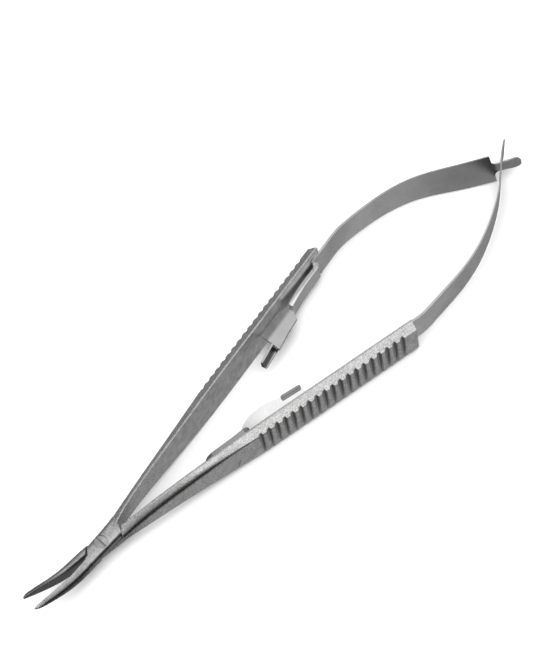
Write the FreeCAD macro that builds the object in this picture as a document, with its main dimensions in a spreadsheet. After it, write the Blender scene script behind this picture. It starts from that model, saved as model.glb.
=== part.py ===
import FreeCAD, Part
import math
import os
import Sketcher

# Surgical needle holder with curved jaws, lap joint, leaf springs and a lock, all in millimetres.
# Working frame of every piece: the pivot axis is Z, X runs along the piece's own handle.
# Half A lies on the -Y side and half B on the +Y side of the finished part.

V = FreeCAD.Vector
doc = FreeCAD.newDocument("needle_holder")
sheet = doc.addObject("Spreadsheet::Sheet", "Sizes")
val = {}
row = [0]


def cell(alias, value, note=""):
    row[0] += 1
    sheet.set("A%d" % row[0], alias)
    sheet.set("B%d" % row[0], repr(float(value)))
    sheet.set("C%d" % row[0], note)
    sheet.setAlias("B%d" % row[0], alias)
    val[alias] = float(value)


# ---------------------------------------------------------------- driving sizes
cell("arm_angle", 10.364, "handle to centre line, as it rests open, degrees")
cell("jaw_angle", 4.60, "jaw to centre line, as it rests open, degrees")
cell("shift_x", -53.20, "pivot axis to the middle of the length")
cell("shift_y", 0.0, "pivot axis to the middle of the width")
cell("shift_z", 4.05, "pivot frame to the resting face")
cell("lap_z", -0.30, "level of the lap between the two halves")
cell("lap_gap", 0.025, "half of the running gap in the lap")
cell("edge_gap", 0.12, "gap at the shoulders of the lap with the jaws shut")
cell("tail_cut_outer", 78.4, "handle end at its outer face")
cell("tail_cut_a", 78.7, "handle A end at its inner face")
cell("tail_cut_b", 79.1, "handle B end at its inner face")
cell("groove_first", 38.73, "first grip groove from the pivot")
cell("groove_pitch", 2.0, "pitch of the grip grooves")
cell("groove_count", 19, "grip grooves on each handle")
cell("groove_run", 36.0, "first to last grip groove")
cell("groove_radius", 0.65, "cutter radius")
cell("groove_off", 2.24, "cutter axis outside the handle's line")
cell("groove_tilt", 2.2, "tilt of the cutter, so that a groove is shallower at its lower end, degrees")
cell("screw_shank", 0.90, "radius of the screw's shank")
cell("screw_fit", 0.03, "radial running clearance in half B")
cell("screw_head", 1.40, "radius of the screw's head")
cell("head_seat", 0.55, "level under the head")
cell("head_top", 1.28, "rim of the head")
cell("head_crown", 1.47, "middle of the head")
cell("screw_end", -1.93, "end of the screw, flush with half A")
cell("slot_width", 0.42, "driver slot")
cell("slot_floor", 1.02, "floor of the driver slot")
cell("slot_turn", 9.5, "turn of the driver slot, degrees")
cell("leaf_half", 3.30, "half width of the leaf springs")
cell("leaf_half_b", 3.72, "half width of leaf B at its tail")
cell("lean_a", 5.0, "outward lean of leaf A's upper edge at its tail, degrees")
cell("lean_b", 12.0, "outward lean of leaf B's upper edge at its tail, degrees")
cell("leaf_root", 0.54, "thickness of a leaf at its root")
cell("leaf_tip", 0.32, "thickness of a leaf at its tail")
cell("leaf_front", 76.1, "front end of both leaves along the handle")
cell("slot_half", 1.50, "half height of the slot in leaf A")
cell("slot_length", 3.1, "length of the slot in leaf A")
cell("tongue_half", 1.00, "half width of the tongue's neck")
cell("tongue_head", 1.25, "half width of the tongue's head")
cell("neck_start", 119.55, "square shoulders of leaf B, from the pivot")
cell("rivet_radius", 0.60, "leaf rivets")
cell("rivet_s_one", 77.55, "leaf rivet along the handle")
cell("rivet_up", 2.45, "upper leaf rivet")
cell("rivet_down", -2.45, "lower leaf rivet")
cell("rivet_end", 1.15, "blind end of the leaf rivets in the handle")
cell("catch_rivet_s", 28.6, "rivet of the catch along the handle")
cell("catch_rivet_z", 2.35, "rivet of the catch")
cell("catch_rivet_radius", 0.55, "rivet of the catch")
cell("catch_fit", 0.04, "radial clearance of the catch on its rivet")
cell("catch_out", 0.42, "back of the catch plate from the handle's line")
cell("catch_top", 3.95, "top edge of the catch strip")
cell("catch_floor", -2.00, "top of the catch shelf")
cell("catch_sheet", 0.45, "sheet thickness of the shelf")
cell("lip_top", -1.30, "top of the catch lip")
cell("blade_top", 1.60, "top edge of the lock spring")
cell("blade_bottom", -2.20, "bottom edge of the lock spring")
cell("latch_top", 0.60, "top of the latch plate")
cell("latch_under", 0.12, "underside of the latch plate")
cell("finger_foot", -0.90, "top of the finger's foot")
cell("finger_under", -1.12, "underside of the finger's foot")

# handle sections: along the handle, inner face, top and bottom of the inner face, outer face,
# top and bottom of the outer face, radius of the lower and of the upper outer ridge
arm_rows = [
    (3.2, -0.75, 1.38, -1.90, 1.70, 0.35, -0.95, 0.70, 0.95),
    (5.5, -0.40, 1.85, -1.98, 1.66, 0.72, -1.15, 0.70, 1.20),
    (8.5, -0.22, 2.45, -2.02, 1.62, 1.20, -1.40, 0.70, 1.60),
    (13.0, -0.20, 3.15, -2.08, 1.60, 1.80, -1.70, 0.65, 1.95),
    (20.0, -0.26, 3.78, -2.52, 1.60, 2.52, -1.98, 0.60, 1.95),
    (27.0, -0.32, 4.12, -3.10, 1.62, 3.18, -2.45, 0.45, 1.50),
    (34.0, -0.36, 4.44, -3.68, 1.70, 3.45, -3.00, 0.28, 0.75),
    (39.0, -0.36, 4.64, -3.96, 1.84, 3.48, -3.20, 0.16, 0.28),
    (44.0, -0.36, 4.74, -4.10, 1.87, 3.50, -3.22, 0.13, 0.16),
    (60.0, -0.36, 4.76, -4.10, 1.88, 3.50, -3.20, 0.13, 0.14),
    (82.0, -0.36, 4.76, -4.10, 1.88, 3.50, -3.14, 0.13, 0.14)]
cell("strip_width", 0.45, "flat strip along the inner edges of a handle")
for n, r in enumerate(arm_rows):
    for k, a in zip(("along", "inner", "intop", "inbot", "outer", "outtop", "outbot", "ridge", "crest"), r):
        cell("arm%s_%s" % ("abcdefghijk"[n], k), a, "handle section %d" % (n + 1))

# joint sections with the jaws shut: along, half width, top, bottom, corner radius
joint_rows = [
    (-4.6, 1.93, 1.44, -2.00, 1.45),
    (-2.0, 2.00, 1.44, -1.98, 1.42),
    (0.0, 2.04, 1.44, -1.96, 1.40),
    (2.5, 2.12, 1.46, -1.96, 1.42),
    (4.5, 2.20, 1.55, -1.96, 1.45),
    (6.5, 2.32, 1.85, -1.98, 1.50)]
for n, r in enumerate(joint_rows):
    for k, a in zip(("along", "wide", "top", "bot", "corner"), r):
        cell("lap%s_%s" % ("abcdef"[n], k), a, "joint section %d" % (n + 1))

# jaw sections with the jaws shut: from the pivot, top, bottom, thickness of one jaw
jaw_rows = [
    (1.5, 1.42, -1.97, 1.96),
    (4.0, 1.42, -1.99, 1.93),
    (6.0, 1.26, -1.99, 1.84),
    (8.0, 1.16, -1.95, 1.72),
    (10.0, 1.22, -1.62, 1.55),
    (12.0, 1.55, -0.90, 1.42),
    (14.0, 2.08, 0.02, 1.28),
    (16.0, 2.70, 1.10, 1.12),
    (17.5, 3.12, 2.02, 0.96),
    (18.5, 3.33, 2.62, 0.72),
    (19.1, 3.30, 2.98, 0.36)]
cell("jaw_bevel", 0.14, "bevel along the top edge of a jaw face")
for n, r in enumerate(jaw_rows):
    for k, a in zip(("from", "top", "bot", "thick"), r):
        cell("jaw%s_%s" % ("abcdefghijk"[n], k), a, "jaw section %d" % (n + 1))

# leaf centre lines in the pivot frame, behind the straight root that lies on the handle
leaf_a_pts = [(85.0, -13.75), (94.0, -13.01), (101.0, -11.45), (108.0, -8.65), (112.5, -6.25),
              (116.7, -3.45), (121.0, 0.10), (125.35, 3.05)]
leaf_b_pts = [(84.6, 14.72), (88.5, 14.62), (94.8, 13.85), (103.8, 11.25), (109.0, 8.25),
              (114.0, 4.75), (120.0, 0.92), (122.6, -0.70), (125.2, -2.10)]
for nm, pts in (("a", leaf_a_pts), ("b", leaf_b_pts)):
    for n, (x, y) in enumerate(pts):
        cell("leaf%s_px%s" % (nm, "abcdefghi"[n]), x, "leaf %s centre line" % nm)
        cell("leaf%s_py%s" % (nm, "abcdefghi"[n]), y, "leaf %s centre line" % nm)

doc.recompute()
for alias in list(val):
    val[alias] = float(sheet.get(alias))

ALPHA = val["arm_angle"]
THETA = val["jaw_angle"]
BETA = ALPHA - THETA
SHIFT = V(val["shift_x"], val["shift_y"], val["shift_z"])


def rest(side):
    """Placement of a piece of one half, as it rests: its handle turned out from the centre line."""
    return FreeCAD.Placement(SHIFT, FreeCAD.Rotation(V(0, 0, 1), side * ALPHA))


PLAIN = FreeCAD.Placement(SHIFT, FreeCAD.Rotation())


# ---------------------------------------------------------------- section and outline helpers
def rounded(points, radii, x):
    """Closed outline in the plane X = x through (y, z) corners, each rounded by its radius."""
    n = len(points)
    edges = []
    starts, ends, mids = [], [], []
    for i in range(n):
        p = V(x, *points[i])
        a = V(x, *points[i - 1])
        b = V(x, *points[(i + 1) % n])
        u = (a - p).normalize()
        w = (b - p).normalize()
        half = math.acos(max(-1.0, min(1.0, u.dot(w)))) / 2.0
        d = radii[i] / math.tan(half)
        bis = (u + w).normalize()
        starts.append(p + u * d)
        ends.append(p + w * d)
        mids.append(p + bis * (radii[i] / math.sin(half) - radii[i]))
    for i in range(n):
        edges.append(Part.Arc(starts[i], mids[i], ends[i]).toShape())
        edges.append(Part.LineSegment(ends[i], starts[(i + 1) % n]).toShape())
    return Part.Wire(edges)


def spline_outline(pts, ztop, zbot, flip):
    """Prism under a closed outline of straight runs between (x, y) corners, y times flip."""
    w = Part.makePolygon([V(x, y * flip, zbot) for x, y in pts + [pts[0]]])
    return outward(Part.Face(w).extrude(V(0, 0, ztop - zbot)))


def outward(shp):
    """The same solid with its faces turned outward."""
    return shp.reversed() if shp.Volume < 0 else shp


def between(rows, xs):
    """Rows of section sizes at the stations xs, eased between the given rows without overshoot."""
    n = len(rows)
    out = []
    for x in xs:
        i = 0
        while i < n - 2 and x > rows[i + 1][0]:
            i += 1
        line = [x]
        for k in range(1, len(rows[0])):
            d = [(rows[j + 1][k] - rows[j][k]) / (rows[j + 1][0] - rows[j][0]) for j in range(n - 1)]

            def slope(j):
                if j == 0:
                    return d[0]
                if j == n - 1:
                    return d[-1]
                if d[j - 1] * d[j] <= 0:
                    return 0.0
                return 2.0 * d[j - 1] * d[j] / (d[j - 1] + d[j])
            span = rows[i + 1][0] - rows[i][0]
            f = (x - rows[i][0]) / span
            m0, m1 = slope(i) * span, slope(i + 1) * span
            line.append((2 * f ** 3 - 3 * f ** 2 + 1) * rows[i][k] + (f ** 3 - 2 * f ** 2 + f) * m0
                        + (3 * f ** 2 - 2 * f ** 3) * rows[i + 1][k] + (f ** 3 - f ** 2) * m1)
        out.append(line)
    return out


ARM_KEYS = ("along", "inner", "intop", "inbot", "outer", "outtop", "outbot", "ridge", "crest")
JAW_KEYS = ("from", "top", "bot", "thick")


def handle_solid(side):
    wires = []
    rows = [[val["arm%s_%s" % (c, k)] for k in ARM_KEYS] for c in "abcdefghijk"]
    for r in between(rows, [3.2, 4.3, 5.5, 7.0, 8.5, 10.5, 13.0, 16.0, 20.0, 23.5, 27.0, 30.5, 34.0, 36.5, 39.0,
                            41.5, 44.0, 60.0, 82.0]):
        g = lambda k: r[ARM_KEYS.index(k)]
        strip = g("inner") + val["strip_width"]
        pts = [(g("inner"), g("inbot")), (g("inner"), g("intop")), (strip, g("intop")),
               (g("outer"), g("outtop")), (g("outer"), g("outbot")), (strip, g("inbot"))]
        wires.append(rounded([(side * y, z) for y, z in pts],
                             [0.10, 0.12, 0.22, g("crest"), g("ridge"), 0.10], g("along")))
    return outward(Part.makeLoft(wires, True, True))


def joint_solid():
    wires = []
    for c in "abcdef":
        g = lambda k: val["lap%s_%s" % (c, k)]
        pts = [(-g("wide"), g("bot")), (-g("wide"), g("top")), (g("wide"), g("top")), (g("wide"), g("bot"))]
        wires.append(rounded(pts, [g("corner")] * 4, g("along")))
    return outward(Part.makeLoft(wires, True, True))


def jaw_solid(side):
    """One jaw, shut: flat towards the other jaw, half round outside, bowed towards +Z."""
    wires = []
    bev = val["jaw_bevel"]
    rows = [[val["jaw%s_%s" % (c, k)] for k in JAW_KEYS] for c in "abcdefghijk"]
    for r in between(rows, [1.5 + 1.1 * i for i in range(15)] + [17.9, 18.5, 18.85, 19.1]):
        g = lambda k: r[JAW_KEYS.index(k)]
        top, bot, thick, x = g("top"), g("bot"), g("thick"), -g("from")
        b = min(bev, 0.2 * thick)
        mid, half = (top + bot) / 2.0, (top - bot) / 2.0
        arc = []
        for i in range(13):
            f = math.pi * i / 12.0
            y = b + (thick - b) * math.sin(f) ** 0.85
            if i == 12:
                y = b * 0.4
            arc.append(V(x, -side * y, mid + half * math.cos(f)))
        crv = Part.BSplineCurve()
        crv.interpolate(arc)
        face_top = V(x, -side * 0.01, top - b)
        face_bot = V(x, -side * 0.01, bot)
        wires.append(Part.Wire([Part.LineSegment(face_bot, face_top).toShape(),
                                Part.LineSegment(face_top, arc[0]).toShape(),
                                crv.toShape(),
                                Part.LineSegment(arc[-1], face_bot).toShape()]))
    return outward(Part.makeLoft(wires, True, False))


# Outline of the upper lap of half B with the jaws shut, and the window that it leaves in half A.
FRONT = ((-3.588, 0.289), (-2.595, 1.413))
REAR = ((3.596, -2.921), (5.101, -0.432))


def along(line, y, off):
    """x where the line, moved off towards -X, meets y."""
    (x1, y1), (x2, y2) = line
    k = (x2 - x1) / (y2 - y1)
    return x1 + (y - y1) * k - off * math.sqrt(1.0 + k * k)


GAP = val["edge_gap"]
lap_outline = [(-5.0, -3.2), (-5.0, 0.0), (along(FRONT, 0.0, 0.0), 0.0), (along(FRONT, 3.0, 0.0), 3.0),
               (5.7, 3.0), (5.62, 0.40), (5.30, 0.22), (5.06, -0.02), (along(REAR, -0.45, GAP), -0.45),
               (along(REAR, -3.2, GAP), -3.2)]
window = [(along(FRONT, 0.0, GAP), -3.6), (along(FRONT, 0.0, GAP), 0.0), (along(FRONT, 3.2, GAP), 3.2),
          (12.0, 3.2), (12.0, 0.0), (5.36, 0.0), REAR[1], (along(REAR, -3.6, 0.0), -3.6)]


def half_blank(side):
    """Forged half in the frame of its own handle: handle, lap and jaw. B has the upper lap."""
    lap = val["lap_z"]
    gap = val["lap_gap"]
    turn = lambda shp: shp.rotated(V(0, 0, 0), V(0, 0, 1), -side * BETA)
    flip = 1 if side > 0 else -1
    if side > 0:
        keep = spline_outline(lap_outline, 6.0, lap + gap, flip)
        cut = spline_outline(window, lap + gap, -8.0, -1)
    else:
        keep = spline_outline(lap_outline, lap - gap, -6.0, flip)
        cut = spline_outline(window, 8.0, lap - gap, 1)
    arm = handle_solid(side)
    root = joint_solid().common(keep)
    jaw = jaw_solid(side)
    shp = turn(root).fuse(turn(jaw)).fuse(arm)
    shp = shp.cut(turn(cut))
    # slanted end of the handle
    inner = val["tail_cut_b"] if side > 0 else val["tail_cut_a"]
    outer = val["tail_cut_outer"]
    k = (inner - outer) / (1.88 + 0.36)
    end = [(outer - k * 1.0, 2.88), (inner + k * 1.0, -1.36), (90.0, -1.36), (90.0, 2.88)]
    shp = shp.cut(spline_outline(end, 8.0, -8.0, side))
    # flat strip that the handle rests on
    shp = shp.cut(Part.makeBox(140.0, 30.0, 4.0, V(-30.0, -15.0, -val["shift_z"] - 4.0)))
    shp = shp.removeSplitter()
    solids = sorted(shp.Solids, key=lambda s: -s.Volume)
    return solids[0]


# ---------------------------------------------------------------- parametric features
def plane_of(body, role):
    for f in body.Origin.OriginFeatures:
        if f.Role == role:
            return f
    raise RuntimeError(role)


def attach(body, sk, role, offset=None):
    sk.AttachmentSupport = [(plane_of(body, role), "")]
    sk.MapMode = "FlatFace"
    if offset is not None:
        sk.AttachmentOffset = offset


def circle(sk, xs, ys, rs):
    """Circle in a sketch: centre and radius follow sheet cells; '-name' is the negative."""
    def num(e):
        return -val[e[1:]] if e.startswith("-") else val[e]

    def ref(e):
        return "-Sizes." + e[1:] if e.startswith("-") else "Sizes." + e
    cx = num(xs) if xs else 0.0
    cy = num(ys) if ys else 0.0
    i = sk.addGeometry(Part.Circle(V(cx, cy, 0), V(0, 0, 1), num(rs)), False)
    c = sk.addConstraint(Sketcher.Constraint("Radius", i, num(rs)))
    sk.setExpression("Constraints[%d]" % c, ref(rs))
    for kind, e, v in (("DistanceX", xs, cx), ("DistanceY", ys, cy)):
        if e:
            c = sk.addConstraint(Sketcher.Constraint(kind, -1, 1, i, 3, v))
            sk.setExpression("Constraints[%d]" % c, ref(e))
        else:
            c = sk.addConstraint(Sketcher.Constraint(kind, -1, 1, i, 3, 0.0))
    return i


def outline(sk, pts):
    """Closed polygon; each corner is held by its two distances from the origin."""
    n = len(pts)
    for i in range(n):
        a, b = pts[i], pts[(i + 1) % n]
        sk.addGeometry(Part.LineSegment(V(a[0], a[1], 0), V(b[0], b[1], 0)), False)
    for i in range(n):
        sk.addConstraint(Sketcher.Constraint("Coincident", i, 2, (i + 1) % n, 1))
    for i in range(n):
        sk.addConstraint(Sketcher.Constraint("DistanceX", -1, 1, i, 1, pts[i][0]))
        sk.addConstraint(Sketcher.Constraint("DistanceY", -1, 1, i, 1, pts[i][1]))


def pad(body, name, pts, low, high, placement=None):
    """Plate of the outline between two levels, both held by sheet cells."""
    sk = body.newObject("Sketcher::SketchObject", name + "_outline")
    attach(body, sk, "XY_Plane", FreeCAD.Placement(V(0, 0, val[low]), FreeCAD.Rotation()))
    sk.setExpression("AttachmentOffset.Base.z", "Sizes." + low)
    outline(sk, pts)
    f = body.newObject("PartDesign::Pad", name)
    f.Profile = sk
    f.Length = val[high] - val[low]
    f.setExpression("Length", "Sizes.%s - Sizes.%s" % (high, low))
    doc.recompute()
    return f


def through(body, name, sk, dist=None, expr=None):
    """Pocket both ways from its sketch."""
    f = body.newObject("PartDesign::Pocket", name)
    f.Profile = sk
    if dist is None:
        f.Type = "ThroughAll"
        f.Midplane = True
    else:
        f.Length = dist
        if expr:
            f.setExpression("Length", expr)
    doc.recompute()
    return f


def volume_drop(body, before, what):
    after = body.Shape.Volume
    print("  %s: %.2f -> %.2f mm3" % (what, before, after))
    if after > before - 1e-3:
        raise RuntimeError(what + " cut nothing")
    return after


parts = []


def half(label, side):
    blank = doc.addObject("Part::Feature", label + "_forging")
    blank.Shape = half_blank(side)
    body = doc.addObject("PartDesign::Body", label)
    body.Label = label
    body.BaseFeature = blank
    doc.recompute()
    vol = body.Shape.Volume
    # grip: half-round grooves straight across the outer face
    sk = body.newObject("Sketcher::SketchObject", label + "_groove_outline")
    attach(body, sk, "XY_Plane", FreeCAD.Placement(V(0, 0, 0), FreeCAD.Rotation(V(1, 0, 0), side * val["groove_tilt"])))
    circle(sk, "groove_first", "groove_off" if side > 0 else "-groove_off", "groove_radius")
    g = through(body, label + "_groove", sk)
    vol = volume_drop(body, vol, label + " groove")
    pat = body.newObject("PartDesign::LinearPattern", label + "_grip")
    pat.Originals = [g]
    pat.Direction = (sk, ["H_Axis"])
    pat.Length = val["groove_run"]
    pat.setExpression("Length", "Sizes.groove_run")
    pat.Occurrences = int(val["groove_count"])
    pat.setExpression("Occurrences", "Sizes.groove_count")
    body.Tip = pat
    doc.recompute()
    vol = volume_drop(body, vol, label + " grip")
    # bore of the pivot screw
    sk = body.newObject("Sketcher::SketchObject", label + "_bore_outline")
    attach(body, sk, "XY_Plane")
    i = circle(sk, None, None, "screw_shank")
    if side > 0:
        sk.setExpression("Constraints[0]", "Sizes.screw_shank + Sizes.screw_fit")
    through(body, label + "_bore", sk)
    vol = volume_drop(body, vol, label + " bore")
    if side > 0:
        sk = body.newObject("Sketcher::SketchObject", label + "_seat_outline")
        attach(body, sk, "XY_Plane", FreeCAD.Placement(V(0, 0, val["head_seat"] - 0.03), FreeCAD.Rotation()))
        sk.setExpression("AttachmentOffset.Base.z", "Sizes.head_seat - 0.03")
        circle(sk, None, None, "screw_head")
        sk.setExpression("Constraints[0]", "Sizes.screw_head + Sizes.screw_fit")
        f = through(body, label + "_seat", sk, 3.0)
        f.Reversed = True
        doc.recompute()
        vol = volume_drop(body, vol, label + " head seat")
    # blind rivet bores, drilled from one millimetre inside the handle's line
    def rivet_bores(name, pts, depth_expr, depth):
        nonlocal vol
        s = body.newObject("Sketcher::SketchObject", name + "_outline")
        attach(body, s, "XZ_Plane", FreeCAD.Placement(V(0, 0, side * 1.0), FreeCAD.Rotation()))
        for xs, ys, rs in pts:
            circle(s, xs, ys, rs)
        f = body.newObject("PartDesign::Pocket", name)
        f.Profile = s
        f.Length = depth + 1.0
        f.setExpression("Length", depth_expr + " + 1")
        f.Reversed = side < 0
        doc.recompute()
        vol = volume_drop(body, vol, name)
    rivet_bores(label + "_leaf_rivets", [("rivet_s_one", "rivet_up", "rivet_radius"),
                                         ("rivet_s_one", "rivet_down", "rivet_radius")],
                "Sizes.rivet_end", val["rivet_end"])
    if side < 0:
        rivet_bores(label + "_catch_rivet", [("catch_rivet_s", "catch_rivet_z", "catch_rivet_radius")],
                    "Sizes.rivet_end - 0.2", val["rivet_end"] - 0.2)
    body.Placement = rest(side)
    parts.append(body)
    return body


half_a = half("half_a", -1)
half_b = half("half_b", 1)

# ---------------------------------------------------------------- pivot screw, turned
screw = doc.addObject("PartDesign::Body", "pivot_screw")
screw.Label = "pivot_screw"
sk = screw.newObject("Sketcher::SketchObject", "screw_profile")
attach(screw, sk, "XZ_Plane")
prof = [(0.0, "screw_end"), ("screw_shank", "screw_end"), ("screw_shank", "head_seat"),
        ("screw_head", "head_seat"), ("screw_head", "head_top"), (0.0, "head_crown")]
num = lambda e: val[e] if isinstance(e, str) else e
pp = [(num(a), num(b)) for a, b in prof]
for i in range(6):
    a, b = pp[i], pp[(i + 1) % 6]
    sk.addGeometry(Part.LineSegment(V(a[0], a[1], 0), V(b[0], b[1], 0)), False)
for i in range(6):
    sk.addConstraint(Sketcher.Constraint("Coincident", i, 2, (i + 1) % 6, 1))
for i in range(6):
    c = sk.addConstraint(Sketcher.Constraint("DistanceX", -1, 1, i, 1, pp[i][0]))
    if isinstance(prof[i][0], str):
        sk.setExpression("Constraints[%d]" % c, "Sizes." + prof[i][0])
    c = sk.addConstraint(Sketcher.Constraint("DistanceY", -1, 1, i, 1, pp[i][1]))
    sk.setExpression("Constraints[%d]" % c, "Sizes." + prof[i][1])
rev = screw.newObject("PartDesign::Revolution", "screw_turned")
rev.Profile = sk
rev.ReferenceAxis = (sk, ["V_Axis"])
rev.Angle = 360.0
doc.recompute()
vol = screw.Shape.Volume
sk = screw.newObject("Sketcher::SketchObject", "slot_outline")
attach(screw, sk, "XY_Plane", FreeCAD.Placement(V(0, 0, val["slot_floor"]),
                                                FreeCAD.Rotation(V(0, 0, 1), val["slot_turn"])))
sk.setExpression("AttachmentOffset.Base.z", "Sizes.slot_floor")
w = val["slot_width"] / 2.0
outline(sk, [(-w, -2.0), (w, -2.0), (w, 2.0), (-w, 2.0)])
for i, sgn in ((0, "-"), (1, ""), (2, ""), (3, "-")):
    sk.setExpression("Constraints[%d]" % (4 + 2 * i), sgn + "Sizes.slot_width / 2")
slot = screw.newObject("PartDesign::Pocket", "driver_slot")
slot.Profile = sk
slot.Length = 2.0
slot.Reversed = True
doc.recompute()
volume_drop(screw, vol, "driver slot")
screw.Placement = rest(-1)
parts.append(screw)


# ---------------------------------------------------------------- leaf springs
def leaf_blank(side, pts, lean, half_tail):
    """Leaf in the pivot frame: flat on its handle, then bowed, thinner and leaning out towards the tail."""
    ca, sa = math.cos(math.radians(ALPHA)), math.sin(math.radians(ALPHA)) * side
    t0, t1 = val["leaf_root"], val["leaf_tip"]
    yin = -0.36 - 0.02 - t0 / 2.0

    def to_pivot(s, y):
        y = y * side
        return V(s * ca - y * sa, s * sa + y * ca, 0)
    line = [to_pivot(val["leaf_front"], yin), to_pivot(78.6, yin), to_pivot(80.6, yin)]
    line += [V(x, y, 0) for x, y in pts]
    crv = Part.BSplineCurve()
    crv.interpolate(line)
    n = 44
    u0 = crv.FirstParameter
    total = crv.length()
    up = V(0, 0, 1)
    wires = []
    for i in range(n + 1):
        d = total * i / n
        u = crv.parameterAtDistance(d, u0)
        p = crv.value(u)
        t = crv.tangent(u)[0]
        if d < 4.6:
            t = V(ca, sa, 0)
            p = to_pivot(val["leaf_front"] + d, yin)
        out = V(-t.y, t.x, 0) * side
        f = max(0.0, min(1.0, (d - 8.0) / (total - 14.0)))
        f = f * f * (3.0 - 2.0 * f)
        g = max(0.0, min(1.0, (d - 10.0) / 20.0))
        ht = (t0 + (t1 - t0) * g) / 2.0
        hw = val["leaf_half"] + (half_tail - val["leaf_half"]) * f
        k = math.radians(lean * f)
        wide = up * math.cos(k) + out * math.sin(k)
        thick = out * math.cos(k) - up * math.sin(k)
        ring = [p + thick * ht - wide * hw, p + thick * ht + wide * hw,
                p - thick * ht + wide * hw, p - thick * ht - wide * hw]
        wires.append(Part.makePolygon(ring + [ring[0]]))
    return outward(Part.makeLoft(wires, True, False))


def leaf(label, side, nm, count, lean, half_tail):
    pts = [(val["leaf%s_px%s" % (nm, "abcdefghi"[i])], val["leaf%s_py%s" % (nm, "abcdefghi"[i])])
           for i in range(count)]
    strip = doc.addObject("Part::Feature", label + "_strip")
    strip.Shape = leaf_blank(side, pts, lean, half_tail)
    body = doc.addObject("PartDesign::Body", label)
    body.Label = label
    body.BaseFeature = strip
    doc.recompute()
    print("  %s blank: %.2f mm3" % (label, body.Shape.Volume))
    return body


leaf_a = leaf("leaf_spring_a", -1, "a", 8, val["lean_a"], val["leaf_half"])
leaf_b = leaf("leaf_spring_b", 1, "b", 9, val["lean_b"], val["leaf_half_b"])

# slot near the tail of leaf A, cut square to the leaf
vol = leaf_a.Shape.Volume
sk = leaf_a.newObject("Sketcher::SketchObject", "tail_slot_outline")
attach(leaf_a, sk, "XZ_Plane")
mid_x = 120.55
hx = val["slot_length"] / 2.0 * 0.80
outline(sk, [(mid_x - hx, -val["slot_half"]), (mid_x + hx, -val["slot_half"]),
             (mid_x + hx, val["slot_half"]), (mid_x - hx, val["slot_half"])])
for i, sgn in ((0, "-"), (1, "-"), (2, ""), (3, "")):
    sk.setExpression("Constraints[%d]" % (4 + 2 * i + 1), sgn + "Sizes.slot_half")
f = through(leaf_a, "tail_slot", sk)
volume_drop(leaf_a, vol, "tail slot")

# tongue of leaf B: square shoulders, filleted neck, slightly wider rounded head
vol = leaf_b.Shape.Volume
for up, nm in ((1, "upper"), (-1, "lower")):
    sk = leaf_b.newObject("Sketcher::SketchObject", "tongue_%s_outline" % nm)
    attach(leaf_b, sk, "XZ_Plane")
    x0 = val["neck_start"]
    neck, head = val["tongue_half"], val["tongue_head"]
    pts = [(x0, 5.0), (x0, 1.95), (x0 + 0.12, 1.55), (x0 + 0.38, 1.24), (x0 + 0.78, neck + 0.04),
           (x0 + 1.5, neck), (x0 + 2.6, neck + 0.06), (x0 + 3.7, head - 0.04), (x0 + 4.5, head),
           (x0 + 5.05, head - 0.14), (x0 + 5.4, head - 0.42), (x0 + 5.6, head - 0.80),
           (x0 + 5.68, 0.02), (x0 + 9.0, 0.02), (x0 + 9.0, 5.0)]
    outline(sk, [(x, up * z) for x, z in pts])
    f = through(leaf_b, "tongue_" + nm, sk)
    vol = volume_drop(leaf_b, vol, "tongue " + nm)

for body, side in ((leaf_a, -1), (leaf_b, 1)):
    vol = body.Shape.Volume
    sk = body.newObject("Sketcher::SketchObject", body.Label + "_rivet_outline")
    # the rivet holes lie square to the handle, so the sketch plane is turned with it
    attach(body, sk, "XZ_Plane", FreeCAD.Placement(V(0, 0, 0), FreeCAD.Rotation(V(0, 1, 0), side * ALPHA)))
    circle(sk, "rivet_s_one", "rivet_up", "rivet_radius")
    circle(sk, "rivet_s_one", "rivet_down", "rivet_radius")
    f = body.newObject("PartDesign::Pocket", body.Label + "_rivet_holes")
    f.Profile = sk
    f.Length = 3.0
    f.Reversed = side > 0
    doc.recompute()
    vol = volume_drop(body, vol, body.Label + " rivet holes")
    body.Placement = PLAIN
    parts.append(body)

# ---------------------------------------------------------------- lock spring on handle B
lock = doc.addObject("PartDesign::Body", "lock_spring")
lock.Label = "lock_spring"
root_out = -0.905 - 0.03
pad(lock, "lock_blade", [(77.5, root_out), (74.7, -0.94), (72.0, -0.93), (69.2, -1.04), (66.4, -1.33),
                         (65.6, -1.45), (65.6, -2.52), (66.2, -2.50), (68.65, -2.17), (71.45, -1.97), (74.2, -1.93),
                         (76.6, -1.86), (77.3, -1.35), (77.5, -1.05)], "blade_bottom", "blade_top")
pad(lock, "latch_plate", [(64.6, -0.80), (66.0, -1.50), (66.0, -2.40), (65.2, -2.95), (63.9, -4.70), (60.0, -5.02),
                          (56.4, -5.58), (55.75, -5.62), (56.2, -3.50), (56.45, -1.24), (56.5, -0.80)],
    "latch_under", "latch_top")
pad(lock, "finger_web", [(56.6, -3.35), (56.6, -3.82), (51.2, -4.50), (51.1, -4.05)], "finger_under", "latch_top")
pad(lock, "finger_foot_plate", [(56.3, -3.60), (56.3, -4.86), (51.2, -5.30), (51.1, -4.40)],
    "finger_under", "finger_foot")
lock.Placement = rest(1)
parts.append(lock)

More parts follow.
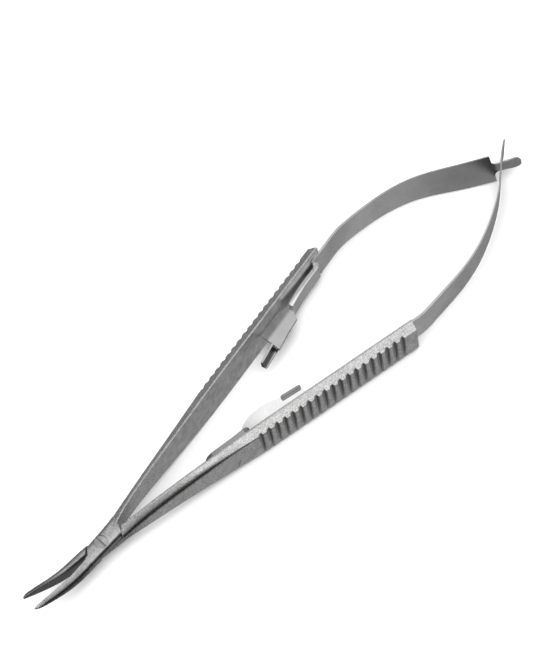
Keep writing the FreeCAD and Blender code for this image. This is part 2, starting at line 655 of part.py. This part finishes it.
# ---------------------------------------------------------------- catch plate on handle A
# in the frame of handle A the inside is +Y
catch = doc.addObject("PartDesign::Body", "catch_plate")
catch.Label = "catch_plate"
sk = catch.newObject("Sketcher::SketchObject", "catch_side_outline")
attach(catch, sk, "XZ_Plane", FreeCAD.Placement(V(0, 0, -val["catch_out"]), FreeCAD.Rotation()))
sk.setExpression("AttachmentOffset.Base.z", "-Sizes.catch_out")
ct, cf = val["catch_top"], val["catch_floor"]
side_pts = [(26.60, 2.40), (26.72, 1.75), (27.15, 1.20), (27.85, 0.85), (29.2, 0.70), (32.2, 0.30),
            (34.3, cf + 0.5), (34.9, cf - 0.45), (38.2, cf - 0.45), (38.2, 0.9), (37.9, 2.9), (37.3, ct - 0.15),
            (36.6, ct), (28.3, ct), (27.4, ct - 0.25), (26.85, ct - 0.75)]
outline(sk, side_pts)
f = catch.newObject("PartDesign::Pad", "catch_strip")
f.Profile = sk
f.Length = 1.55
f.Reversed = True
doc.recompute()
bb = catch.Shape.BoundBox
print("catch strip y", bb.YMin, bb.YMax)
vol = catch.Shape.Volume
# inner side of the strip, thinner in front
sk = catch.newObject("Sketcher::SketchObject", "catch_thin_outline")
attach(catch, sk, "XY_Plane")
outline(sk, [(26.0, 0.90), (27.0, 1.05), (28.3, 1.22), (33.8, 1.45), (36.2, 1.62), (38.6, 1.86), (38.6, 3.0), (26.0, 3.0)])
f = through(catch, "catch_thin", sk)
vol = volume_drop(catch, vol, "catch strip thinned")
cell("catch_low", val["catch_floor"] - val["catch_sheet"], "underside of the catch shelf")
doc.recompute()
pad(catch, "catch_shelf", [(34.9, 0.44), (38.2, 0.44), (38.6, 1.10), (52.9, 1.60), (53.0, 5.40), (52.7, 5.88),
                           (48.28, 6.12), (47.9, 6.30), (46.0, 6.75), (43.6, 6.98), (42.0, 6.92), (40.7, 6.66),
                           (39.3, 6.22), (38.2, 5.58), (37.4, 4.75), (36.5, 2.2), (34.9, 1.2)], "catch_low", "catch_floor")
pad(catch, "catch_lip", [(48.28, 5.45), (52.75, 5.28), (52.95, 5.42), (53.0, 5.70), (52.7, 5.88), (48.28, 6.12)],
    "catch_low", "lip_top")
vol = catch.Shape.Volume
sk = catch.newObject("Sketcher::SketchObject", "catch_rivet_outline")
attach(catch, sk, "XZ_Plane")
circle(sk, "catch_rivet_s", "catch_rivet_z", "catch_rivet_radius")
sk.setExpression("Constraints[0]", "Sizes.catch_rivet_radius + Sizes.catch_fit")
f = through(catch, "catch_rivet_hole", sk)
volume_drop(catch, vol, "catch rivet hole")
catch.Placement = rest(-1)
parts.append(catch)


# ---------------------------------------------------------------- flush rivets
def rivet_pair(label, side, inner_y, outer_y, pts):
    """Rivets square to the handle, from the inner end to the blind end, as separate solids."""
    made = []
    for n, (s, z, r) in enumerate(pts):
        c = doc.addObject("Part::Cylinder", "%s_%d" % (label, n + 1))
        c.Radius = val[r]
        c.setExpression("Radius", "Sizes." + r)
        c.Height = outer_y - inner_y
        c.Placement = FreeCAD.Placement(V(val[s], side * inner_y, val[z]),
                                        FreeCAD.Rotation(V(1, 0, 0), -90 * side))
        c.setExpression("Placement.Base.x", "Sizes." + s)
        c.setExpression("Placement.Base.z", "Sizes." + z)
        made.append(c)
    if len(made) == 1:
        made[0].Label = label
        obj = made[0]
        doc.recompute()
        shp = obj.Shape.copy()
        obj.setExpression("Placement.Base.x", None)
        obj.setExpression("Placement.Base.z", None)
        obj.Placement = rest(side).multiply(obj.Placement)
    else:
        obj = doc.addObject("Part::Compound", label)
        obj.Label = label
        obj.Links = made
        doc.recompute()
        obj.Placement = rest(side)
    doc.recompute()
    parts.append(obj)
    return obj


LEAF_IN = -0.36 - 0.005 - val["leaf_root"]
rivet_pair("leaf_rivets_a", -1, LEAF_IN, val["rivet_end"],
           [("rivet_s_one", "rivet_up", "rivet_radius"), ("rivet_s_one", "rivet_down", "rivet_radius")])
rivet_pair("leaf_rivets_b", 1, LEAF_IN, val["rivet_end"],
           [("rivet_s_one", "rivet_up", "rivet_radius"), ("rivet_s_one", "rivet_down", "rivet_radius")])
rivet_pair("catch_rivet", -1, -1.22, val["rivet_end"] - 0.2,
           [("catch_rivet_s", "catch_rivet_z", "catch_rivet_radius")])

# ---------------------------------------------------------------- checks and files
doc.recompute()
for o in doc.Objects:
    bad = [s for s in o.State if s in ("Invalid", "Error")]
    if bad:
        raise RuntimeError("%s: %s" % (o.Label, bad))
box = None
total = 0.0
for o in parts:
    s = o.Shape
    if s.isNull() or not s.isValid():
        raise RuntimeError(o.Label + " has no valid shape")
    n = len(s.Solids)
    b = s.BoundBox
    print("%-14s solids %d  volume %8.2f  x %.3f %.3f  y %.3f %.3f  z %.3f %.3f" % (
        o.Label, n, s.Volume, b.XMin, b.XMax, b.YMin, b.YMax, b.ZMin, b.ZMax))
    total += s.Volume
    if box is None:
        box = FreeCAD.BoundBox(b)
    else:
        box.add(b)
print("all: x %.3f %.3f  y %.3f %.3f  z %.3f %.3f  volume %.1f" % (
    box.XMin, box.XMax, box.YMin, box.YMax, box.ZMin, box.ZMax, total))

os.makedirs("parts", exist_ok=True)
for o in parts:
    o.Shape.exportStep("parts/%s.step" % o.Label)
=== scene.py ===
import math

import bpy
from mathutils import Matrix, Vector


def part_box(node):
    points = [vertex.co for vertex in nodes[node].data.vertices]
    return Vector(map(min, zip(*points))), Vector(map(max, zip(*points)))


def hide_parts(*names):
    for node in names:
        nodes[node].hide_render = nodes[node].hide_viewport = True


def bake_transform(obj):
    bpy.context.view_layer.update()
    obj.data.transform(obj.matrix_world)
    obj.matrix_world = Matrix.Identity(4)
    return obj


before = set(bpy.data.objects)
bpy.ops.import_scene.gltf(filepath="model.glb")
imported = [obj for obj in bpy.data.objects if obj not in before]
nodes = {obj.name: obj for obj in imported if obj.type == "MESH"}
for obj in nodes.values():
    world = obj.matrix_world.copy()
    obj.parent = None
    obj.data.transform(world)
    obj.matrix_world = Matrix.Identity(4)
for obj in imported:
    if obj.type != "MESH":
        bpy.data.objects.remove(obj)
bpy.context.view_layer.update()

MM = 0.001
PIVOT = (-0.0532, 0.0, 0.00405)      # where the pivot frame of the CAD lies in the row frame
ALPHA = math.radians(10.364)         # half the angle between the handles
GROOVE_FIRST = 38.73                  # first groove along the handle, millimetres; the others follow every 2


# ------------------------------------------------------------------ node helpers
class Tree:
    def __init__(self, name):
        self.m = bpy.data.materials.new(name)
        self.m.use_nodes = True
        self.t = self.m.node_tree
        self.t.nodes.clear()
        self.out = self.t.nodes.new("ShaderNodeOutputMaterial")
        self.bsdf = self.t.nodes.new("ShaderNodeBsdfPrincipled")
        self.t.links.new(self.bsdf.outputs[0], self.out.inputs[0])
        self.coord = self.t.nodes.new("ShaderNodeTexCoord")

    def link(self, a, b):
        self.t.links.new(a, b)

    def put(self, node, socket, value):
        s = node.inputs[socket]
        if isinstance(value, bpy.types.NodeSocket):
            self.link(value, s)
        else:
            s.default_value = value

    def math(self, op, a, b=None, c=None, clamp=False):
        n = self.t.nodes.new("ShaderNodeMath")
        n.operation = op
        n.use_clamp = clamp
        for i, v in enumerate((a, b, c)):
            if v is not None:
                self.put(n, i, v)
        return n.outputs[0]

    def add(self, a, b):
        return self.math("ADD", a, b)

    def mul(self, a, b):
        return self.math("MULTIPLY", a, b)

    def step(self, v, lo, hi, to0=0.0, to1=1.0, smooth=True):
        n = self.t.nodes.new("ShaderNodeMapRange")
        n.interpolation_type = "SMOOTHSTEP" if smooth else "LINEAR"
        n.clamp = True
        self.put(n, "Value", v)
        for k, x in (("From Min", lo), ("From Max", hi), ("To Min", to0), ("To Max", to1)):
            n.inputs[k].default_value = x
        return n.outputs["Result"]

    def mapping(self, loc=(0, 0, 0), rot=(0, 0, 0), scale=(1, 1, 1), vec=None):
        n = self.t.nodes.new("ShaderNodeMapping")
        n.vector_type = "POINT"
        n.inputs["Location"].default_value = loc
        n.inputs["Rotation"].default_value = rot
        n.inputs["Scale"].default_value = scale
        self.link(vec or self.coord.outputs["Object"], n.inputs["Vector"])
        return n.outputs[0]

    def noise(self, vec, scale, detail=3.0, rough=0.5, distortion=0.0):
        n = self.t.nodes.new("ShaderNodeTexNoise")
        self.link(vec, n.inputs["Vector"])
        n.inputs["Scale"].default_value = scale
        n.inputs["Detail"].default_value = detail
        n.inputs["Roughness"].default_value = rough
        n.inputs["Distortion"].default_value = distortion
        return n.outputs["Fac"]

    def voronoi(self, vec, scale, feature="F1", out="Distance", rand=1.0):
        n = self.t.nodes.new("ShaderNodeTexVoronoi")
        n.feature = feature
        self.link(vec, n.inputs["Vector"])
        n.inputs["Scale"].default_value = scale
        n.inputs["Randomness"].default_value = rand
        return n.outputs[out]

    def split(self, vec):
        n = self.t.nodes.new("ShaderNodeSeparateXYZ")
        self.link(vec, n.inputs[0])
        return n.outputs

    def grey(self, v, tint=(1.0, 1.0, 1.0)):
        n = self.t.nodes.new("ShaderNodeCombineColor")
        for i in range(3):
            self.put(n, i, v if tint[i] == 1.0 else self.mul(v, tint[i]))
        return n.outputs[0]

    def mixf(self, fac, a, b):
        n = self.t.nodes.new("ShaderNodeMix")
        n.data_type = "FLOAT"
        self.put(n, 0, fac)
        self.put(n, 2, a)
        self.put(n, 3, b)
        return n.outputs[0]

    def bump(self, height, strength, distance, normal=None):
        n = self.t.nodes.new("ShaderNodeBump")
        self.put(n, "Strength", strength)
        n.inputs["Distance"].default_value = distance
        self.link(height, n.inputs["Height"])
        if normal is not None:
            self.link(normal, n.inputs["Normal"])
        return n.outputs[0]

    def bevel(self, radius, samples=4):
        n = self.t.nodes.new("ShaderNodeBevel")
        n.samples = samples
        n.inputs["Radius"].default_value = radius
        return n.outputs[0]

    def edge(self, radius, lo=0.0, hi=0.12):
        """1 along the sharp edges, 0 on the faces."""
        b = self.bevel(radius)
        g = self.t.nodes.new("ShaderNodeNewGeometry")
        d = self.t.nodes.new("ShaderNodeVectorMath")
        d.operation = "DOT_PRODUCT"
        self.link(b, d.inputs[0])
        self.link(g.outputs["Normal"], d.inputs[1])
        return self.step(self.math("SUBTRACT", 1.0, d.outputs["Value"]), lo, hi)


def cavity(t, distance, lo, hi):
    """0 deep in narrow recesses, 1 on open faces; the materials use it to paint shade into recesses."""
    n = t.t.nodes.new("ShaderNodeAmbientOcclusion")
    n.samples = 6
    n.only_local = True
    n.inputs["Distance"].default_value = distance
    return t.step(n.outputs["AO"], lo, hi)


def shaded(o):
    """Smooth shading on every face."""
    for p in o.data.polygons:
        p.use_smooth = True


def cover(o, mat):
    o.data.materials.clear()
    o.data.materials.append(mat)


# ------------------------------------------------------------------ materials
def blasted(name, side):
    """Handle, joint and jaw steel: bead blasted outside, satin on the inner faces."""
    t = Tree(name)
    b = t.bsdf
    # arm frame of this handle: x along it, y outwards, z up, in metres from the pivot
    local = t.mapping(loc=(0, 0, 0), rot=(0, 0, -side * ALPHA),
                      vec=t.mapping(loc=(-PIVOT[0], 0, -PIVOT[2])))
    speck = t.noise(local, 3600.0, 2.0, 0.55)
    mottle = t.noise(local, 600.0, 3.0, 0.6)
    cloud = t.noise(local, 130.0, 2.0, 0.5)
    s, y, z = t.split(local)
    out = t.mul(y, side)
    # the flat inner face is ground, every other face is blasted
    ground = t.step(out, -0.22 * MM, -0.33 * MM)
    v = t.add(t.mul(t.math("SUBTRACT", t.step(speck, 0.34, 0.66, smooth=False), 0.5), t.mixf(ground, t.math("SUBTRACT", 0.38, t.mul(t.step(t.split(t.mapping())[0], -0.040, -0.060), 0.16)), 0.14)), 0.59)
    v = t.add(v, t.mul(t.math("SUBTRACT", t.step(mottle, 0.3, 0.7), 0.5), t.mixf(ground, 0.12, 0.20)))
    v = t.add(v, t.mul(t.step(cloud, 0.35, 0.65), 0.04))
    edge = t.edge(0.10 * MM)
    # painted highlight: the sharp edges are lightened
    v = t.add(v, t.mul(edge, 0.08))
    # painted shade: the grooves are darkened, most on their lee wall, and so are narrow recesses such as the gaps of
    # the joint
    beat = t.math("PINGPONG", t.math("SUBTRACT", s, (GROOVE_FIRST - 1.0) * MM), 1.0 * MM)
    groove_shade = t.mul(t.step(beat, 0.50 * MM, 0.66 * MM), t.step(out, 1.76 * MM, 1.66 * MM))
    lee_wall_shade = t.step(t.math("MODULO", t.math("SUBTRACT", s, (GROOVE_FIRST - 1.0) * MM), 2.0 * MM), 0.80 * MM, 1.15 * MM)
    groove_shade = t.mul(groove_shade, t.mul(t.step(s, (GROOVE_FIRST - 1.2) * MM, (GROOVE_FIRST - 0.9) * MM), t.step(out, 1.22 * MM, 1.40 * MM)))
    groove_shade = t.mul(groove_shade, t.step(s, (GROOVE_FIRST + 37.2) * MM, (GROOVE_FIRST + 36.9) * MM))
    v = t.mul(v, t.math("SUBTRACT", 1.0, t.mul(groove_shade, t.add(t.mul(lee_wall_shade, 0.42), 0.34))))
    # painted shade: narrow recesses are darkened
    v = t.mul(v, t.add(t.mul(cavity(t, 0.5 * MM, 0.30, 0.80), 0.45), 0.55))
    # the jaws and joint are polished by use, which makes them smoother; their sides are darkened against their tops as
    # painted shade
    px, py, pz = t.split(t.mapping())
    g = t.t.nodes.new("ShaderNodeNewGeometry")
    nx, ny, nz = t.split(g.outputs["Normal"])
    jaw = t.step(px, -0.0570, -0.0620)
    joint = t.step(px, -0.0400, -0.0500)
    flank_shade = t.math("SUBTRACT", 1.0, t.step(nz, 0.25, 0.96))
    v = t.mul(v, t.math("SUBTRACT", 1.0, t.mul(flank_shade, t.mul(joint, t.add(t.mul(jaw, 0.22), 0.33)))))
    # painted highlight: the joint's flat tops are lightened
    v = t.mul(v, t.add(t.mul(t.mul(joint, t.step(nz, 0.90, 0.985)), 0.12), 1.0))
    # painted shade on faces turned towards -Y and +Y, full on the jaws and weaker on the joint
    side_shade = t.add(t.mul(t.step(ny, -0.12, -0.50), 0.48), t.mul(t.step(ny, 0.12, 0.55), 0.36))
    v = t.mul(v, t.math("SUBTRACT", 1.0, t.mul(t.mixf(jaw, t.mul(joint, 0.45), 1.0), side_shade)))
    # painted highlight: a bright line along the jaws' edges
    v = t.add(v, t.mul(t.mul(t.edge(0.24 * MM, 0.01, 0.10), jaw), 0.22))
    if side < 0:
        # painted shade: the outer half of the slope ahead of the grip is darkened
        slope_shade = t.mul(t.step(out, 0.45 * MM, 1.25 * MM), t.mul(t.step(px, -0.0180, -0.0300), t.step(nz, 0.15, 0.5)))
        v = t.mul(v, t.math("SUBTRACT", 1.0, t.mul(slope_shade, 0.55)))
        # short scratch on the outer side, ahead of the grip
        off = t.math("ABSOLUTE", t.math("SUBTRACT", t.math("SUBTRACT", s, 32.6 * MM), t.mul(t.add(z, 1.3 * MM), 0.45)))
        mark = t.mul(t.step(off, 0.16 * MM, 0.06 * MM), t.step(t.math("ABSOLUTE", t.add(z, 1.3 * MM)), 0.95 * MM, 0.75 * MM))
        mark = t.mul(mark, t.step(out, 1.4 * MM, 1.5 * MM))
        v = t.mul(v, t.math("SUBTRACT", 1.0, t.mul(mark, 0.75)))
    t.put(b, "Base Color", t.grey(v, (1.0, 1.0, 0.995)))
    b.inputs["Metallic"].default_value = 1.0
    r = t.add(t.mul(speck, 0.16), 0.24)
    r = t.math("SUBTRACT", r, t.mul(edge, 0.10))
    r = t.math("SUBTRACT", r, t.mul(joint, 0.05))
    t.put(b, "Roughness", r)
    n = t.bump(speck, 0.35, 0.02 * MM, t.bevel(0.07 * MM))
    t.put(b, "Normal", n)
    return t.m


def satin(name, base=0.60, rough=0.30, grain=1.0, wear_and_shade=None):
    t = Tree(name)
    b = t.bsdf
    long = t.mapping(scale=(0.06, 1.0, 1.0))
    fine = t.noise(long, 5200.0, 2.0, 0.6)
    mottle = t.noise(t.mapping(), 420.0, 3.0, 0.6)
    v = t.add(t.mul(t.step(fine, 0.3, 0.7, smooth=False), 0.06 * grain), base - 0.05)
    v = t.add(v, t.mul(t.step(mottle, 0.3, 0.7), 0.05))
    edge = t.edge(0.06 * MM)
    # painted highlight: the sharp edges are lightened
    v = t.add(v, t.mul(edge, 0.10))
    # painted shade: narrow recesses are darkened
    v = t.mul(v, t.add(t.mul(cavity(t, 0.6 * MM, 0.30, 0.85), 0.5), 0.5))
    if wear_and_shade is not None:
        v = t.mul(v, wear_and_shade(t))
    t.put(b, "Base Color", t.grey(v))
    b.inputs["Metallic"].default_value = 1.0
    t.put(b, "Roughness", t.add(t.mul(fine, 0.14 * grain), rough - 0.07 * grain))
    t.put(b, "Normal", t.bump(fine, 0.2 * grain, 0.01 * MM, t.bevel(0.05 * MM)))
    return t.m


halves = {1: blasted("blasted_steel_b", 1), -1: blasted("blasted_steel_a", -1)}


def catch_wear_and_shade(t):
    """The catch plate is bright; its root strip is darkened as painted shade and the edge of its lip is dull."""
    x, y, z = t.split(t.mapping())
    root_shade = t.mul(t.step(x, -0.0170, -0.0160, 0.55, 1.0), t.step(x, -0.0160, -0.0090, 0.72, 1.0))
    lip = t.step(z, 0.00222, 0.00240, 1.0, 0.32)
    high = t.step(x, -0.0060, -0.0056)
    return t.mul(root_shade, t.mixf(high, 1.0, lip))


def leaf_wear(t):
    """The leaves darken towards the crossing, where they rub."""
    x, y, z = t.split(t.mapping())
    cloud = t.noise(t.mapping(), 90.0, 3.0, 0.6)
    return t.mul(t.step(x, 0.0560, 0.0720, 1.0, 0.82), t.add(t.mul(t.step(cloud, 0.35, 0.65), 0.16), 0.92))


def lock_tone_and_shade(t):
    """The blade is bright along its top and the latch plate darker; the upright web of the finger is darkened as
    painted shade.
    """
    x, y, z = t.split(t.mapping())
    plate = t.step(x, 0.0112, 0.0120, 0.60, 1.15)
    g = t.t.nodes.new("ShaderNodeNewGeometry")
    nx, ny, nz = t.split(g.outputs["Normal"])
    upright_web_shade = t.step(t.math("ABSOLUTE", nz), 0.8, 0.5)
    return t.mul(plate, t.mixf(t.mul(upright_web_shade, t.step(x, 0.0030, 0.0022)), 1.0, 0.35))


leaf_mat = satin("spring_leaf_satin", 0.68, 0.30, 1.3, leaf_wear)
screw_mat = satin("turned_screw", 0.60, 0.30)
lock_mat = satin("polished_lock", 0.72, 0.20, 0.15, lock_tone_and_shade)
catch_mat = satin("polished_catch", 0.64, 0.15, 0.5, catch_wear_and_shade)

cover(nodes["half_a"], halves[-1])
cover(nodes["half_b"], halves[1])
for n in ("leaf_rivets_a", "leaf_rivets_b", "catch_rivet", "pivot_screw"):
    cover(nodes[n], screw_mat)
cover(nodes["lock_spring"], lock_mat)
cover(nodes["catch_plate"], catch_mat)


# ------------------------------------------------------------------ the leaf springs, bowed between the handles, drawn as copies of their parts
def leaf(node):
    src = nodes[node]
    o = src.copy()
    o.data = src.data.copy()
    for k in list(o.keys()):
        if k.startswith("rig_"):
            del o[k]
    o.parent = None
    o.name = node + "_bending"
    o.data.name = o.name
    bpy.context.scene.collection.objects.link(o)
    o.matrix_world = Matrix.Identity(4)
    cover(o, leaf_mat)
    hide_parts(node)
    lo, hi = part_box(node)
    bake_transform(o)
    return o


leaf_a = leaf("leaf_spring_a")
leaf_b = leaf("leaf_spring_b")


# ------------------------------------------------------------------ floor
me = bpy.data.meshes.new("floor")
S = 3.0
me.from_pydata([(-S, -S, 0), (S, -S, 0), (S, S, 0), (-S, S, 0)], [], [(0, 1, 2, 3)])
floor = bpy.data.objects.new("floor", me)
bpy.context.scene.collection.objects.link(floor)
ft = Tree("pale_floor")
ft.bsdf.inputs["Base Color"].default_value = (0.90, 0.90, 0.90, 1)
ft.bsdf.inputs["Roughness"].default_value = 0.9
cover(floor, ft.m)
floor.visible_glossy = False

# ------------------------------------------------------------------ light
scene = bpy.context.scene
world = bpy.data.worlds.new("studio")
scene.world = world
world.use_nodes = True
wt = world.node_tree
wt.nodes.clear()
wo = wt.nodes.new("ShaderNodeOutputWorld")
bg = wt.nodes.new("ShaderNodeBackground")
cam_bg = wt.nodes.new("ShaderNodeBackground")
cam_bg.inputs[0].default_value = (1.0, 1.0, 1.0, 1)
mixer = wt.nodes.new("ShaderNodeMixShader")
lp = wt.nodes.new("ShaderNodeLightPath")
tc = wt.nodes.new("ShaderNodeTexCoord")
sp = wt.nodes.new("ShaderNodeSeparateXYZ")
wt.links.new(tc.outputs["Generated"], sp.inputs[0])


def wmath(op, a, b=None):
    n = wt.nodes.new("ShaderNodeMath")
    n.operation = op
    for i, v in enumerate((a, b)):
        if isinstance(v, bpy.types.NodeSocket):
            wt.links.new(v, n.inputs[i])
        elif v is not None:
            n.inputs[i].default_value = v
    return n.outputs[0]


def wstep(v, lo, hi, to0=0.0, to1=1.0):
    n = wt.nodes.new("ShaderNodeMapRange")
    n.interpolation_type = "SMOOTHSTEP"
    wt.links.new(v, n.inputs["Value"])
    for k, x in (("From Min", lo), ("From Max", hi)):
        n.inputs[k].default_value = x
    for k, x in (("To Min", to0), ("To Max", to1)):
        if isinstance(x, bpy.types.NodeSocket):
            wt.links.new(x, n.inputs[k])
        else:
            n.inputs[k].default_value = x
    return n.outputs["Result"]


def wmix(f, a, b):
    n = wt.nodes.new("ShaderNodeMix")
    n.data_type = "FLOAT"
    for k, v in ((0, f), (2, a), (3, b)):
        if isinstance(v, bpy.types.NodeSocket):
            wt.links.new(v, n.inputs[k])
        else:
            n.inputs[k].default_value = v
    return n.outputs[0]


# the room as the steel sees it: dark low walls towards -Y and -X, a light table, a soft white tent above -Y
wx, wy, wz = sp.outputs[0], sp.outputs[1], sp.outputs[2]
low = wstep(wx, -0.80, -0.15, 0.06, wstep(wy, -0.55, -0.15, 0.42, 0.30))
horizon = wstep(wy, -0.2, 0.7, 0.03, 0.30)
low_to_horizon = wmix(wstep(wz, -0.50, -0.22), low, horizon)
high = wstep(wy, -0.75, 0.60, 1.12, 0.40)
room = wmix(wstep(wz, 0.20, 0.86), low_to_horizon, high)
wt.links.new(room, bg.inputs[0])
bg.inputs[1].default_value = 1.0
wt.links.new(lp.outputs["Is Camera Ray"], mixer.inputs[0])
wt.links.new(bg.outputs[0], mixer.inputs[1])
wt.links.new(cam_bg.outputs[0], mixer.inputs[2])
wt.links.new(mixer.outputs[0], wo.inputs[0])


def area(name, loc, target, size, power):
    li = bpy.data.lights.new(name, "AREA")
    li.shape = "RECTANGLE"
    li.size, li.size_y = size
    li.energy = power
    o = bpy.data.objects.new(name, li)
    bpy.context.scene.collection.objects.link(o)
    o.location = loc
    o.rotation_mode = "QUATERNION"
    o.rotation_quaternion = (Vector(target) - Vector(loc)).to_track_quat("-Z", "Y")
    return o


area("key_softbox", (0.10, -0.75, 0.85), (0, 0, 0), (0.6, 0.6), 0.34)
area("fill_softbox", (0.3, 0.5, 0.9), (0, 0, 0), (1.0, 1.0), 0.45)
area("strip_softbox", (0.30, 0.46, 0.90), (0, 0, 0), (0.16, 0.16), 0.09)
table_light = area("table_light", (-0.2, -0.1, 1.5), (0, 0, 0), (2.4, 2.4), 42.0)
table_light.visible_glossy = False

# ------------------------------------------------------------------ camera at the photograph's viewing angle
cam_data = bpy.data.cameras.new("camera")
cam = bpy.data.objects.new("camera", cam_data)
bpy.context.scene.collection.objects.link(cam)
cam_data.sensor_width = 36.0
cam_data.lens = 2030.0167 * 36.0 / 656.0
cam_data.clip_start, cam_data.clip_end = 0.01, 20.0
axes = Matrix(((0.69752845, 0.65223125, -0.2967296, 0),
               (-0.70356403, 0.54489681, -0.45616348, 0),
               (-0.13583706, 0.52695528, 0.83896747, 0),
               (0, 0, 0, 1)))
cam.matrix_world = Matrix.Translation((-0.12177205, -0.18730489, 0.36549337)) @ axes
scene.camera = cam
scene.view_settings.view_transform = "Standard"
scene.view_settings.look = "None"
